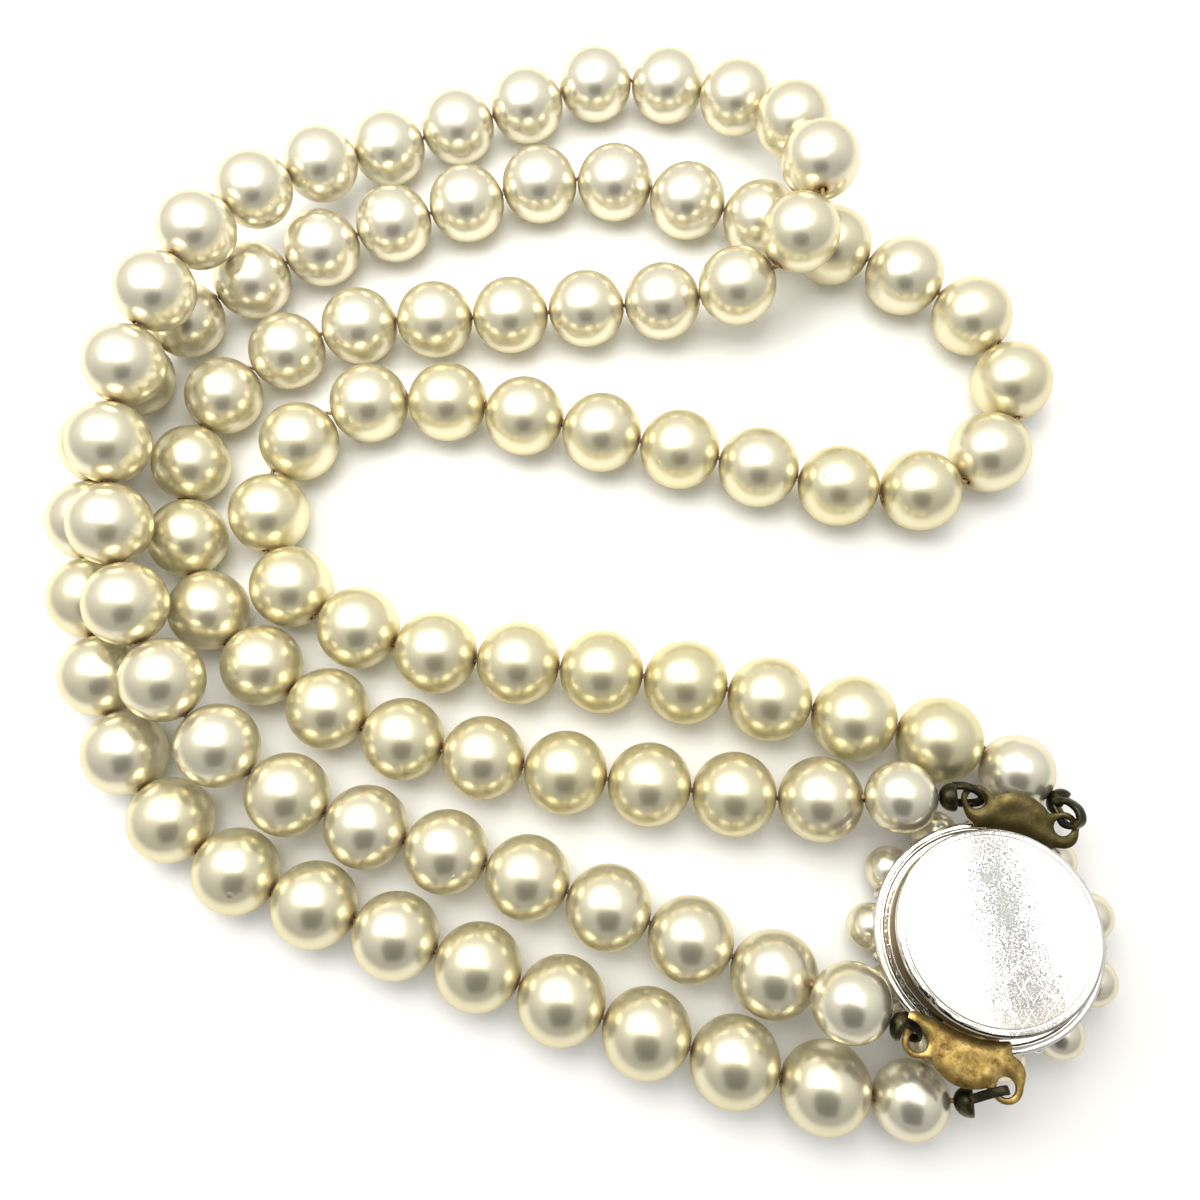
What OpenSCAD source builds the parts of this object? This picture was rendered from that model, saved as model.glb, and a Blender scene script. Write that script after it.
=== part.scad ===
/* [Strands] */
// Diameter of the beads of the shorter strand
bead_a_d = 7.85; // [7.8:0.01:7.85]
// Diameter of the beads of the longer strand
bead_b_d = 8; // [7.9:0.02:8]
// Clear space between two neighbouring beads
bead_gap = 0.1; // [0.08:0.01:0.12]
// Diameter of the hole drilled through each bead
bore_d = 1.1; // [1.05:0.05:1.2]
// Diameter of the stringing thread
thread_d = 0.45; // [0.3:0.05:0.45]

/* [Clasp case] */
// Radius of the round case, over its rolled rim
case_r = 8.6; // [8.5:0.05:8.65]
// Height of the back of the case over the underside of the flange
case_h = 4.4; // [4:0.1:4.6]
// Thickness of the case wall
wall_t = 0.45; // [0.35:0.05:0.6]
// Radius of the flange, over its rolled edge
flange_r = 9.9; // [9.8:0.05:10]
// Thickness of the flange
flange_t = 0.6; // [0.5:0.05:0.65]

/* [Clasp pearls] */
// Diameter of the pearls set around the front
pearl_d = 4.4; // [4.2:0.1:4.4]
// Radius of the ring on which the pearls stand
pearl_ring_r = 9.8; // [9.7:0.05:9.9]

/* [End plates] */
// Thickness of the two end plates
plate_t = 0.45; // [0.35:0.05:0.5]
// Diameter of the two holes in each plate
hole_d = 1.6; // [1.5:0.05:1.7]
// Distance of each hole from the middle line of its plate
hole_x = 3.85; // [3.8:0.05:3.9]

/* [Bead tips] */
// Radius of the small cup that hides each knot
cup_r = 1.25; // [1.15:0.05:1.3]
// Width of the strap of a bead tip
strap_w = 0.9; // [0.8:0.05:1]
// Thickness of the strap
strap_t = 0.35; // [0.3:0.05:0.4]

/* [Hidden] */

$fn = 48;

// The clasp lies face down on its lowest pearl, tilted a little, at the origin of the layout
clasp_tilt = [-8, -3];

// Pearls around the front of the clasp
pearl_count = 11;
pearl_first_turn = 10.9;
pearl_drop = 2.35;
peg_at = pearl_ring_r - 0.6;
peg_r = 0.35;
peg_l = 1.6;
peg_hole_r = 0.45;
peg_hole_l = 1.8;
grain_r = 0.6;
grain_ring_r = 9.6;
front_dome_r = 6.8;
front_dome_h = 1.8;

// The end plates lie on the flange, against the case, and may lean up from a line beside it
plate_z = 0.85;
lean_y = 7.7;
plate_mid_z = plate_z + plate_t / 2;
plate_reach = 11.15;
plate_clear = 0.1;
lobe_r = 1.35;
belly_r = 3.5;
belly_y = 9.4;
tongue_w = 4.6;
tongue_root = 1;
slot_w = 7.2;
slot_h = 1.6;
// Columns of the table of plates
PLATE_TURN = 0;
PLATE_ASKEW = 1;
PLATE_LEAN = 2;
PLATE_TONGUE = 3;
plates = [
    // turn round the case, turn about its own middle, lean, length of its tongue
    [71, 0, 15, 1.6],
    [251.5, -8, 0, 6.5]];

// The hook of a bead tip is a ring round the rim of a hole
rim_mid = (hole_d / 2 + lobe_r) / 2;
hook_r_in = 0.5;
hook_mid_r = hook_r_in + strap_t / 2;
cup_t = 0.25;
cup_lip = -0.1;
cup_gap = 0.1;
// Knots in the cups: radius, and the places of their three rings beside the middle of the cup
knot_r = 0.4;
knot_steps = [0.25, 0.5, 0.7];
// The thread bends this far outside the hole of a bead, of an end bead, and of the bead beside it
bend_out = 0.04;
end_bend_out = 0.2;
next_bend_out = 0.08;

// Diameters of the end beads: first and last of the shorter strand, then of the longer one
ends_a = [6.5, 6.9];
ends_b = [6.9, 6.8];
beads_a = 47;
beads_b = 50;
split_a = 24;
split_b = 25;

// Steps of the smooth curve between two route points
curve_steps = 8;
// How far a strand's route runs on past its last point
run_on = 20;

// Route of the shorter strand, from one end plate round to the other
route_a = [
    // x, y, height over a bead that lies on the ground
    [-7, 12, 3], [-13.5, 12, 0.5], [-21.5, 12.5, 0], [-37, 14.5, 0], [-52, 17.5, 0], [-60, 20.5, 0],
    [-66.5, 24.5, 0], [-72.5, 30, 0], [-75.5, 37.5, 0], [-76, 45.5, 0], [-73.5, 53, 0], [-67.5, 58, 0],
    [-60, 61, 0], [-44.5, 62, 0], [-29, 63, 0.5], [-21.5, 63, 2.5], [-15, 66, 6], [-12, 73.5, 7.5],
    [-13.5, 81, 4.5], [-19, 86.5, 1.5], [-26.5, 89.5, 0], [-34.5, 90, 0], [-42, 87.5, 0],
    [-49.5, 85, 0], [-57, 82.5, 0], [-63.5, 79, 2.5], [-69.5, 74.5, 5], [-74.5, 68, 7.5],
    [-77.5, 61, 8.5], [-80, 53.5, 8], [-81, 45.5, 7.5], [-80.5, 37.5, 6.5], [-78.5, 30, 6],
    [-75, 23, 4.5], [-70, 17, 2.5], [-63.5, 12.5, 1], [-56, 9.5, 0], [-41, 5, 0], [-26, -0.5, 0],
    [-18.5, -3.5, 0.5], [-12.5, -5.5, 4.5]];

// Route of the longer strand
route_b = [
    // x, y, height over a bead that lies on the ground
    [4.5, 14.5, 0], [-2.5, 17.5, 0], [-10, 19.5, 0], [-25.5, 23, 0], [-41.5, 25, 0], [-49.5, 26, 0],
    [-57.5, 28.5, 0], [-64.5, 32.5, 0], [-67.5, 39.5, 0], [-65.5, 47.5, 0], [-59, 52, 0],
    [-51, 52.5, 0], [-35, 49, 0], [-19, 45, 0], [-11.5, 43, 0], [-3.5, 42, 0], [4, 45.5, 0],
    [7.5, 52.5, 0], [4.5, 60.5, 0], [-2, 65.5, 0], [-16.5, 72.5, 0], [-24.5, 75, 0],
    [-32.5, 77.5, 0], [-40.5, 77.5, 0], [-48, 75.5, 0], [-63.5, 70.5, 0], [-77.5, 62.5, 0],
    [-82.5, 56, 0], [-85.5, 48.5, 0], [-86, 40.5, 0], [-85, 32.5, 0], [-83, 24.5, 0], [-80, 17, 0],
    [-75, 10.5, 0], [-68, 5.5, 0], [-60.5, 2.5, 0], [-45, -3, 0], [-30, -8.5, 0], [-14, -13, 0],
    [-6.5, -14, -0.5]];

function unit(v) = v / norm(v);
function last(v) = v[len(v) - 1];

// Smooth curve through b and c, with its neighbours a and d, at t from 0 to 1
function curve(a, b, c, d, t) =
    0.5 * (2 * b + (c - a) * t + (2 * a - 5 * b + 4 * c - d) * t * t
        + (3 * b - a - 3 * c + d) * t * t * t);

// Point p, no lower and no higher than the two points a and b
function held(p, a, b) = [p[0], p[1], max(min(p[2], max(a[2], b[2])), min(a[2], b[2]))];

function smooth(p) =
    let (n = len(p), e = concat([2 * p[0] - p[1]], p, [2 * p[n - 1] - p[n - 2]]))
    concat(
        [for (i = [0 : n - 2], k = [0 : curve_steps - 1])
            held(curve(e[i], e[i + 1], e[i + 2], e[i + 3], k / curve_steps), p[i], p[i + 1])],
        [p[n - 1], p[n - 1] + run_on * unit(p[n - 1] - p[n - 2])]);

// First stretch of the path q, from k on, that reaches s away from c
function stretch(q, c, s, k) = norm(q[k + 1] - c) >= s ? k : stretch(q, c, s, k + 1);

// Where the stretch from a to b is s away from c
function leave(a, b, c, s) =
    let (d = b - a, f = a - c, p = d * d, h = f * d)
    a + d * (sqrt(h * h - p * (f * f - s * s)) - h) / p;

// Centres of the beads: each is its own step along the path q from the one before it
function walk(q, steps, found, i = 0, k = 0) =
    i == len(steps) ? found :
    let (j = stretch(q, found[i], steps[i], k))
    walk(q, steps, concat(found, [leave(q[j], q[j + 1], found[i], steps[i])]), i + 1, j);

function diameters(n, d, ends) = [for (i = [0 : n - 1]) i == 0 ? ends[0] : i == n - 1 ? ends[1] : d];

function centres(route, d, ds) =
    let (q = smooth([for (p = route) [p[0], p[1], d / 2 + p[2]]]))
    walk(q, [for (i = [0 : len(ds) - 2]) (ds[i] + ds[i + 1]) / 2 + bead_gap], [q[0]]);

ds_a = diameters(beads_a, bead_a_d, ends_a);
ds_b = diameters(beads_b, bead_b_d, ends_b);
centres_a = centres(route_a, bead_a_d, ds_a);
centres_b = centres(route_b, bead_b_d, ds_b);

function turn_x(p, a) = [p[0], p[1] * cos(a) - p[2] * sin(a), p[1] * sin(a) + p[2] * cos(a)];
function turn_y(p, a) = [p[0] * cos(a) + p[2] * sin(a), p[1], p[2] * cos(a) - p[0] * sin(a)];
function turn_z(p, a) = [p[0] * cos(a) - p[1] * sin(a), p[0] * sin(a) + p[1] * cos(a), p[2]];
function tilted(p) = turn_y(turn_x(p, clasp_tilt[0]), clasp_tilt[1]);

function pearl_turn(k) = pearl_first_turn + k * 360 / pearl_count;
function pearl_place(k) = turn_z([pearl_ring_r, 0, -pearl_drop], pearl_turn(k));
clasp_h = pearl_d / 2 - min([for (k = [0 : pearl_count - 1]) tilted(pearl_place(k))[2]]);

// From the frame of plate p to the layout, and back
function from_plate(q, p) =
    let (foot = [0, lean_y, plate_z], leant = turn_x(q - foot, plates[p][PLATE_LEAN]) + foot)
    tilted(turn_z(leant, plates[p][PLATE_TURN] - 90)) + [0, 0, clasp_h];
function to_plate(q, p) =
    let (foot = [0, lean_y, plate_z],
        flat = turn_x(turn_y(q - [0, 0, clasp_h], -clasp_tilt[1]), -clasp_tilt[0]))
    turn_x(turn_z(flat, 90 - plates[p][PLATE_TURN]) - foot, -plates[p][PLATE_LEAN]) + foot;

// The middle of the laid necklace, seen from the clasp, becomes the origin
low_x = min([for (i = [0 : beads_b - 1]) centres_b[i][0] - ds_b[i] / 2]);
high_x = max([for (k = [0 : pearl_count - 1]) tilted(pearl_place(k))[0] + pearl_d / 2]);
low_y = min([for (i = [0 : beads_b - 1]) centres_b[i][1] - ds_b[i] / 2]);
high_y = max([for (i = [0 : beads_a - 1]) centres_a[i][1] + ds_a[i] / 2]);
middle = [(low_x + high_x) / 2, (low_y + high_y) / 2, 0];

// Hole of plate p on its side s, in the plate's frame
function hole_place(p, s) =
    turn_z([s * hole_x, 0, 0], plates[p][PLATE_ASKEW]) + [0, plate_reach, plate_mid_z];

// Columns of the table of strand ends
TIP_BEAD = 0;
TIP_NEXT = 1;
TIP_D = 2;
TIP_PLATE = 3;
TIP_SIDE = 4;
TIP_HOOK = 5;
tips = [
    // end bead, bead beside it, diameter, plate, side of its hole, way its hook faces
    [centres_a[0], centres_a[1], ends_a[0], 0, -1, -165],
    [centres_b[0], centres_b[1], ends_b[0], 0, 1, 85],
    [last(centres_a), centres_a[beads_a - 2], ends_a[1], 1, 1, 0],
    [last(centres_b), centres_b[beads_b - 2], ends_b[1], 1, -1, 85]];

// Way out of an end bead, between the way in and the way to its hole
function tip_axis(i) =
    let (t = tips[i], c = t[TIP_BEAD],
        h = from_plate(hole_place(t[TIP_PLATE], t[TIP_SIDE]), t[TIP_PLATE]))
    unit(unit(c - t[TIP_NEXT]) + unit(h - c));
function cup_place(i) = tips[i][TIP_BEAD] + tip_axis(i) * (tips[i][TIP_D] / 2 + cup_gap + cup_r);

// Directions of the holes through the beads c, which leave the strand along the two tip axes
function axes(c, first, end) =
    [for (i = [0 : len(c) - 1])
        i == 0 ? -first : i == len(c) - 1 ? end : unit(unit(c[i] - c[i - 1]) + unit(c[i + 1] - c[i]))];
axes_a = axes(centres_a, tip_axis(0), tip_axis(2));
axes_b = axes(centres_b, tip_axis(1), tip_axis(3));

module laid_down() {
    translate([0, 0, clasp_h] - middle) rotate([clasp_tilt[0], clasp_tilt[1], 0]) children();
}

module leant(p) {
    translate([0, lean_y, plate_z]) rotate([plates[p][PLATE_LEAN], 0, 0])
        translate([0, -lean_y, -plate_z]) children();
}

module on_plate(p) {
    laid_down() rotate([0, 0, plates[p][PLATE_TURN] - 90]) leant(p) children();
}

// Turns the Z axis to the direction v
module along(v) {
    rotate([0, acos(v[2] / norm(v)), atan2(v[1], v[0])]) children();
}

module bead(c, v, d) {
    translate(c - middle) along(v) difference() {
        sphere(d = d);
        cylinder(d = bore_d, h = d + 2, center = true, $fn = 24);
    }
}

module beads(c, v, d, from, to) {
    for (i = [from : to]) bead(c[i], v[i], d);
}

module strand_a_1() {
    color("ivory") beads(centres_a, axes_a, bead_a_d, 1, split_a - 1);
}

module strand_a_2() {
    color("ivory") beads(centres_a, axes_a, bead_a_d, split_a, beads_a - 2);
}

module strand_b_1() {
    color("cornsilk") beads(centres_b, axes_b, bead_b_d, 1, split_b - 1);
}

module strand_b_2() {
    color("cornsilk") beads(centres_b, axes_b, bead_b_d, split_b, beads_b - 2);
}

module end_bead(i) {
    color("white") bead(tips[i][TIP_BEAD], tip_axis(i), tips[i][TIP_D]);
}

// Round tube through the points p, with the radius r[i] at point i
module tube(p, r, sides) {
    n = len(p);
    rings = [for (i = [0 : n - 1])
        let (t = unit(p[min(i + 1, n - 1)] - p[max(i - 1, 0)]),
            u = unit(cross(t, [0, 0, 1])), w = cross(u, t))
        for (k = [0 : sides - 1]) let (a = k * 360 / sides) p[i] + r[i] * (cos(a) * u + sin(a) * w)];
    quads = [for (i = [0 : n - 2], k = [0 : sides - 1])
        let (a = i * sides + k, b = i * sides + (k + 1) % sides) [a, b, b + sides, a + sides]];
    polyhedron(points = rings, faces = concat(quads,
        [[for (k = [sides - 1 : -1 : 0]) k], [for (k = [0 : sides - 1]) (n - 1) * sides + k]]));
}

// Thread from knot to knot, straight through each bead and bent between one bead and the next
module thread(c, v, ds, first, end) {
    n = len(c);
    // Two bends between each bead and the next
    bends = [for (i = [0 : n - 2])
        let (out = i == 0 ? end_bend_out : i == n - 2 ? next_bend_out : bend_out,
            in = i == 0 ? next_bend_out : i == n - 2 ? end_bend_out : bend_out)
        each [c[i] + (ds[i] / 2 + out) * v[i], c[i + 1] - (ds[i + 1] / 2 + in) * v[i + 1]]];
    knot_a = [for (k = knot_steps) first + v[0] * k];
    knot_b = [for (k = knot_steps) end - v[n - 1] * k];
    small = thread_d / 2;
    knot_radii = [small, knot_r, small];
    radii = concat(knot_radii, [for (b = bends) small], knot_radii);
    translate(-middle) tube(concat(knot_a, bends, [for (i = [2 : -1 : 0]) knot_b[i]]), radii, 6);
}

module thread_a() {
    color("goldenrod") thread(centres_a, axes_a, ds_a, cup_place(0), cup_place(2));
}

module thread_b() {
    color("goldenrod") thread(centres_b, axes_b, ds_b, cup_place(1), cup_place(3));
}

// Small cup, open away from its bead, with a hole for the thread
module cup() {
    rotate_extrude() intersection() {
        difference() {
            circle(r = cup_r);
            circle(r = cup_r - cup_t);
        }
        translate([bore_d / 2, -2 * cup_r]) square([2 * cup_r, 2 * cup_r + cup_lip]);
    }
}

// Flat strap of thickness t from a to b
module bar(a, b, t) {
    s = t / 2 * unit([a[1] - b[1], b[0] - a[0]]);
    polygon([a + s, a - s, b - s, b + s]);
}

// Cup, strap and hook of a strand end, in the frame of its plate
module bead_tip(i) {
    t = tips[i];
    p = t[TIP_PLATE];
    cup_c = to_plate(cup_place(i), p);
    axis = to_plate(cup_place(i) + tip_axis(i), p) - cup_c;
    hole = hole_place(p, t[TIP_SIDE]);
    // The strap leaves the side of the cup that faces the hole, and from above
    way = unit(hole - cup_c) + [0, 0, 1];
    side = unit(way - (way * axis) * axis);
    rim = cup_c + axis * (cup_lip - strap_t / 2) + (cup_r - cup_t / 2) * side;
    hook = hole + turn_z([rim_mid, 0, 0], t[TIP_HOOK]);
    // It meets the ring at its top where the cup is higher than the plate, or else at its bottom
    meet = hook + [0, 0, rim[2] > hook[2] ? hook_mid_r : -hook_mid_r];
    away = rim - meet;
    color("darkolivegreen") on_plate(p) {
        translate(cup_c) along(axis) cup();
        translate(hook) rotate([0, 0, t[TIP_HOOK]]) rotate([90, 0, 0])
            linear_extrude(strap_w, center = true) difference() {
                circle(r = hook_r_in + strap_t);
                circle(r = hook_r_in);
            }
        translate(meet) rotate([0, 0, atan2(away[1], away[0])]) rotate([90, 0, 0])
            linear_extrude(strap_w, center = true)
                bar([0, 0], [norm([away[0], away[1]]), away[2]], strap_t);
    }
}

// Outline of an end plate: a round belly between two lobes, cut round to fit the case
module plate_outline() {
    difference() {
        union() {
            translate([0, belly_y]) circle(r = belly_r);
            for (s = [-1, 1]) {
                translate([s * hole_x, plate_reach]) circle(r = lobe_r);
                polygon([[0, 8], [s * 4, 8], [s * 5.2, 10.9], [s * hole_x, plate_reach], [0, 11.5]]);
            }
        }
        for (s = [-1, 1]) translate([s * hole_x, plate_reach]) circle(d = hole_d);
    }
}

// End plate: a flat plate beside the case, with a tongue that goes into it
module end_plate(p) {
    tongue_l = plates[p][PLATE_TONGUE];
    color(p == 0 ? "darkkhaki" : "goldenrod") laid_down()
        rotate([0, 0, plates[p][PLATE_TURN] - 90]) {
            difference() {
                leant(p) translate([0, plate_reach, plate_z])
                    rotate([0, 0, plates[p][PLATE_ASKEW]]) translate([0, -plate_reach, 0])
                        linear_extrude(plate_t) plate_outline();
                cylinder(r = case_r + plate_clear, h = case_h);
            }
            translate([-tongue_w / 2, case_r - wall_t - tongue_l, plate_z])
                cube([tongue_w, tongue_l + wall_t + tongue_root, plate_t]);
        }
}

// Case: a round cup with a rolled rim and a groove round its back, open for the two tongues
module clasp_back() {
    back_t = 0.7;
    rim_r = 0.3;
    groove_r = 7.85;
    groove_w = 0.2;
    groove_deep = 0.3;
    seat = flange_t + 0.03;
    color("silver") laid_down() difference() {
        rotate_extrude($fn = 96) difference() {
            union() {
                translate([0, seat]) square([case_r, case_h - rim_r - seat]);
                translate([0, case_h - 2 * rim_r]) square([case_r - rim_r, 2 * rim_r]);
                translate([case_r - rim_r, case_h - rim_r]) circle(r = rim_r);
            }
            translate([-1, 0]) square([case_r - wall_t + 1, case_h - back_t]);
            translate([groove_r, case_h - groove_deep]) square([groove_w, 1]);
        }
        for (p = plates) rotate([0, 0, p[PLATE_TURN] - 90])
            translate([-slot_w / 2, case_r - 2, -1]) cube([slot_w, 3, 1 + slot_h]);
    }
}

// Flange with a rolled edge and a raised line, a plain domed front, and a peg for each pearl
module clasp_front() {
    edge_r = flange_t / 2;
    line_r = 0.2;
    line_at = 9.2;
    dome_r = (front_dome_r * front_dome_r + front_dome_h * front_dome_h) / (2 * front_dome_h);
    color("silver") laid_down() {
        rotate_extrude($fn = 96) {
            square([flange_r - edge_r, flange_t]);
            translate([flange_r - edge_r, edge_r]) circle(r = edge_r);
            translate([line_at, flange_t]) circle(r = line_r);
        }
        for (k = [0 : pearl_count - 1]) rotate([0, 0, pearl_turn(k)]) {
            translate([peg_at, 0, -peg_l]) cylinder(r = peg_r, h = peg_l + 0.1);
            rotate([0, 0, 180 / pearl_count]) translate([grain_ring_r, 0, -grain_r / 2])
                sphere(r = grain_r);
        }
        intersection() {
            translate([0, 0, dome_r - front_dome_h]) sphere(r = dome_r);
            translate([0, 0, -front_dome_h - 1]) cylinder(r = front_dome_r, h = front_dome_h + 1.1);
        }
    }
}

module clasp_pearl(k) {
    color("ivory") laid_down() rotate([0, 0, pearl_turn(k)]) difference() {
        translate([pearl_ring_r, 0, -pearl_drop]) sphere(d = pearl_d);
        translate([peg_at, 0, -peg_hole_l]) cylinder(r = peg_hole_r, h = peg_hole_l + 1);
    }
}

strand_a_1();
strand_a_2();
strand_b_1();
strand_b_2();
end_bead(0);  // end_bead_1
end_bead(1);  // end_bead_2
end_bead(2);  // end_bead_3
end_bead(3);  // end_bead_4
thread_a();
thread_b();
bead_tip(0);  // bead_tip_1
bead_tip(1);  // bead_tip_2
bead_tip(2);  // bead_tip_3
bead_tip(3);  // bead_tip_4
end_plate(0);  // end_plate_1
end_plate(1);  // end_plate_2
clasp_back();
clasp_front();
clasp_pearl(0);  // clasp_pearl_01
clasp_pearl(1);  // clasp_pearl_02
clasp_pearl(2);  // clasp_pearl_03
clasp_pearl(3);  // clasp_pearl_04
clasp_pearl(4);  // clasp_pearl_05
clasp_pearl(5);  // clasp_pearl_06
clasp_pearl(6);  // clasp_pearl_07
clasp_pearl(7);  // clasp_pearl_08
clasp_pearl(8);  // clasp_pearl_09
clasp_pearl(9);  // clasp_pearl_10
clasp_pearl(10);  // clasp_pearl_11
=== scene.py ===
import math

import bmesh
import bpy
import numpy as np
from mathutils import Matrix, Vector
from mathutils.geometry import delaunay_2d_cdt


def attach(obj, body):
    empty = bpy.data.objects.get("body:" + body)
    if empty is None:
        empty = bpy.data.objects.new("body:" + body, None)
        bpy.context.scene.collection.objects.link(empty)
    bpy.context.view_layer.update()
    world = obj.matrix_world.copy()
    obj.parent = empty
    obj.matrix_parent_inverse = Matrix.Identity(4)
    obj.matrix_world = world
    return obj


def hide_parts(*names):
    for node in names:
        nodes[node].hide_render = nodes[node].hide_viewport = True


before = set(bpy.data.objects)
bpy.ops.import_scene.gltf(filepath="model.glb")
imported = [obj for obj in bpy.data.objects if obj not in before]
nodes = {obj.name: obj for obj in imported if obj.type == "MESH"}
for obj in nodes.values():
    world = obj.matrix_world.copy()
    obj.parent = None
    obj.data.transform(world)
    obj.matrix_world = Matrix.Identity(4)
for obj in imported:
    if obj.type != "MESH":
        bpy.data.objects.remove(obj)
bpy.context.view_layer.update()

MM = 0.001

# Where the photograph was taken from: the camera's place, and how it leaned from straight down
CAMERA_AT = Vector((8.164, -33.644, 110.5)) * MM
LEAN_RIGHT = 0.033
LEAN_BACK = 0.245
FOCAL_PX = 1125.0
PICTURE_PX = 1200.0
SENSOR_MM = 36.0

# Lights that face straight down: place, size, watts and colour
LIGHTS = {
    "panel": ((0.15, 0.12, 0.6), (0.4, 0.4), 0.63, (1.0, 0.99, 0.97)),
    "lamp": ((-0.0475, 0.055, 0.15), (0.185, 0.13), 0.36, (1.0, 0.98, 0.94)),
}
GROUND_HALF = 3.0

# Dark card that the pearls reflect, in millimetres from the camera, and the round spot beside it
CARD = [(-76, -60), (-56, -26), (-22, -6), (22, -6), (56, -26), (76, -60), (84, -240), (-84, -240)]
CARD_RISE = 6
CARD_SPOT_R = 5
CARD_SPOT_Y = 24

# The clasp lies tilted, its own middle at this place
CLASP_AT = Vector((39.014, -38.274, 5.979)) * MM
CLASP_TILT = (math.radians(-8), math.radians(-3))

# Pearls: a strand bead, the hole through each, and how far its stain spreads over the surface
BEAD_D = 8.0 * MM
BORE_D = 0.8 * MM
STAIN_ANGLE = 0.2
PEARL_SIDES = 56
PEARL_RINGS = 26
TONE_SEED = 11

# Clasp case: its groove, its wall, the height of its back, and how soft the edges of their colours are
GROOVE_R = 7.85 * MM
GROOVE_W = 0.22 * MM
WALL_R = 8.62 * MM
WALL_FOOT = 0.8 * MM
WALL_TOP = 3.95 * MM
BACK_Z = 4.2 * MM
EDGE = 0.1 * MM

# The back of the case: where its band of specks runs, and how long its scratches are in metres
SPECKS_X = 0.9 * MM
SPECKS_SLANT = 0.17
SPECKS_RAGGED = 4.5 * MM
SPECKS_DENSE = 2.2 * MM
SPECKS_END = 7.5 * MM
SCRATCH_L = 1 / 260

# End plates in millimetres, in frames of their own whose origin is the middle of the clasp: a belly between
# two lobes, and a tongue
PLATE_T = 0.45
LOBE_R = 1.35
HOLE_R = 0.8
HOLE_X = 3.85
BELLY = (0, 9.4, 3.5)
REACH = 11.15
LEAN_LINE = (0, 7.7, 0.85)
NECK_R = 1.0
RIM_R = 0.09
PLATE_CROWN = 0.22
CROWN_RUN = 1.1
DENT = 0.035
PLATES = {
    # turn round the clasp, turn about its own middle, lean, flanks as (x, y, r), middle and radius of
    # the edge beside the case, and where the tongue begins
    "end_plate_1": (71, 0, 15, [(-3.4, 10.4, 1.2), (4.0, 10.55, 1.2)], (0, 0, 9.35), 6.6),
    "end_plate_2": (251.5, -8, 0, [(4.55, 9.95, 1.05), (-3.65, 10.0, 1.3)], (1.55, 0.1, 8.72), 1.7),
}
TONGUE_W = 4.6
TONGUE_T = PLATE_T - 0.06
TONGUE_SINK = 0.25
TONGUE_LAP = 0.6

# Bead tips in millimetres: the cup, and the strap's course
CUP_R = 1.28
CUP_T = 0.2
TIPS = {
    # plate, width and thickness of the strap, and its route past the plate from one side of the cup
    "bead_tip_1": ("end_plate_1", 0.75, 0.5, [
        (-6.3, 11.7, 1.1), (-5.2, 12.0, 1.05), (-4.1, 11.9, 0.95), (-3.45, 11.4, 0.5), (-3.7, 10.95, -0.1),
        (-4.5, 10.6, -0.45), (-5.4, 10.4, -0.2), (-6.3, 10.6, 0.3)]),
    "bead_tip_2": ("end_plate_1", 1.0, 0.6, [
        (2.75, 13.15, -0.6), (3.6, 13.45, 0.1), (4.5, 13.05, 0.75), (4.95, 12.2, 0.95), (4.65, 11.55, 0.6),
        (3.95, 11.45, -0.05), (3.5, 12.1, -0.65), (3.0, 12.8, -1.0)]),
    "bead_tip_3": ("end_plate_2", 0.78, 0.36, [
        (6.5, 10.35, 1.5), (5.65, 10.2, 1.3), (4.7, 10.2, 0.95), (4.0, 10.45, 0.55), (3.95, 10.8, 0.05),
        (4.4, 11.0, -0.35), (4.95, 10.9, -0.45)]),
    "bead_tip_4": ("end_plate_2", 0.78, 0.38, [
        (-1.9, 13.2, -0.9), (-2.5, 12.55, -0.1), (-3.1, 11.95, 0.6), (-3.65, 11.5, 0.75), (-3.95, 11.35, 0.3),
        (-3.75, 11.5, -0.3), (-3.3, 11.9, -0.5)]),
}
# End bead, middle of the cup and depth of the cup at each strand end
CUPS = {
    "bead_tip_1": ((32.01, -26.27, 6.93), (36.4, -26.35, 7.5), 1.15),
    "bead_tip_2": ((43.51, -23.77, 4.0), (46.75, -26.65, 5.2), 1.15),
    "bead_tip_3": ((26.36, -43.72, 8.31), (30.2, -45.4, 9.45), 0.9),
    "bead_tip_4": ((31.9, -52.2, 3.55), (36.6, -52.1, 4.95), 1.3),
}

# Case and flange: edges sharper than this many degrees are eased, and faces broader than this are flat
EASED_FROM = 35.0
BROAD_FACE = 25 * MM * MM

# How white each strand is, from 0 to 1, and how much whiter its beads get towards the far side
STRANDS = {
    "strand_a_1": 0.35,
    "strand_a_2": 0.6,
    "strand_b_1": 0.2,
    "strand_b_2": 0.5,
}
WHITER_FROM = -5 * MM
WHITER_OVER = 30 * MM
WHITER_BY = 0.35
TONE_SPREAD = 0.1
END_BEADS = ["end_bead_1", "end_bead_2", "end_bead_3", "end_bead_4"]
CLASP_PEARLS = ["clasp_pearl_%02d" % k for k in range(1, 12)]


def link(obj):
    bpy.context.scene.collection.objects.link(obj)
    return obj


def add(tree, kind, inputs=None, **settings):
    """A node with its settings and inputs: an input given as a socket is linked."""
    made = tree.nodes.new(kind)
    for key, value in settings.items():
        setattr(made, key, value)
    for key, value in (inputs or {}).items():
        if isinstance(value, bpy.types.NodeSocket):
            tree.links.new(value, made.inputs[key])
        else:
            made.inputs[key].default_value = value
    return made


def new_material(name):
    """A material with nothing in it but its output."""
    mat = bpy.data.materials.new(name)
    mat.use_nodes = True
    mat.node_tree.nodes.clear()
    return mat, mat.node_tree


def finish_material(tree, shader):
    add(tree, "ShaderNodeOutputMaterial", {"Surface": shader.outputs[0]})


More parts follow.
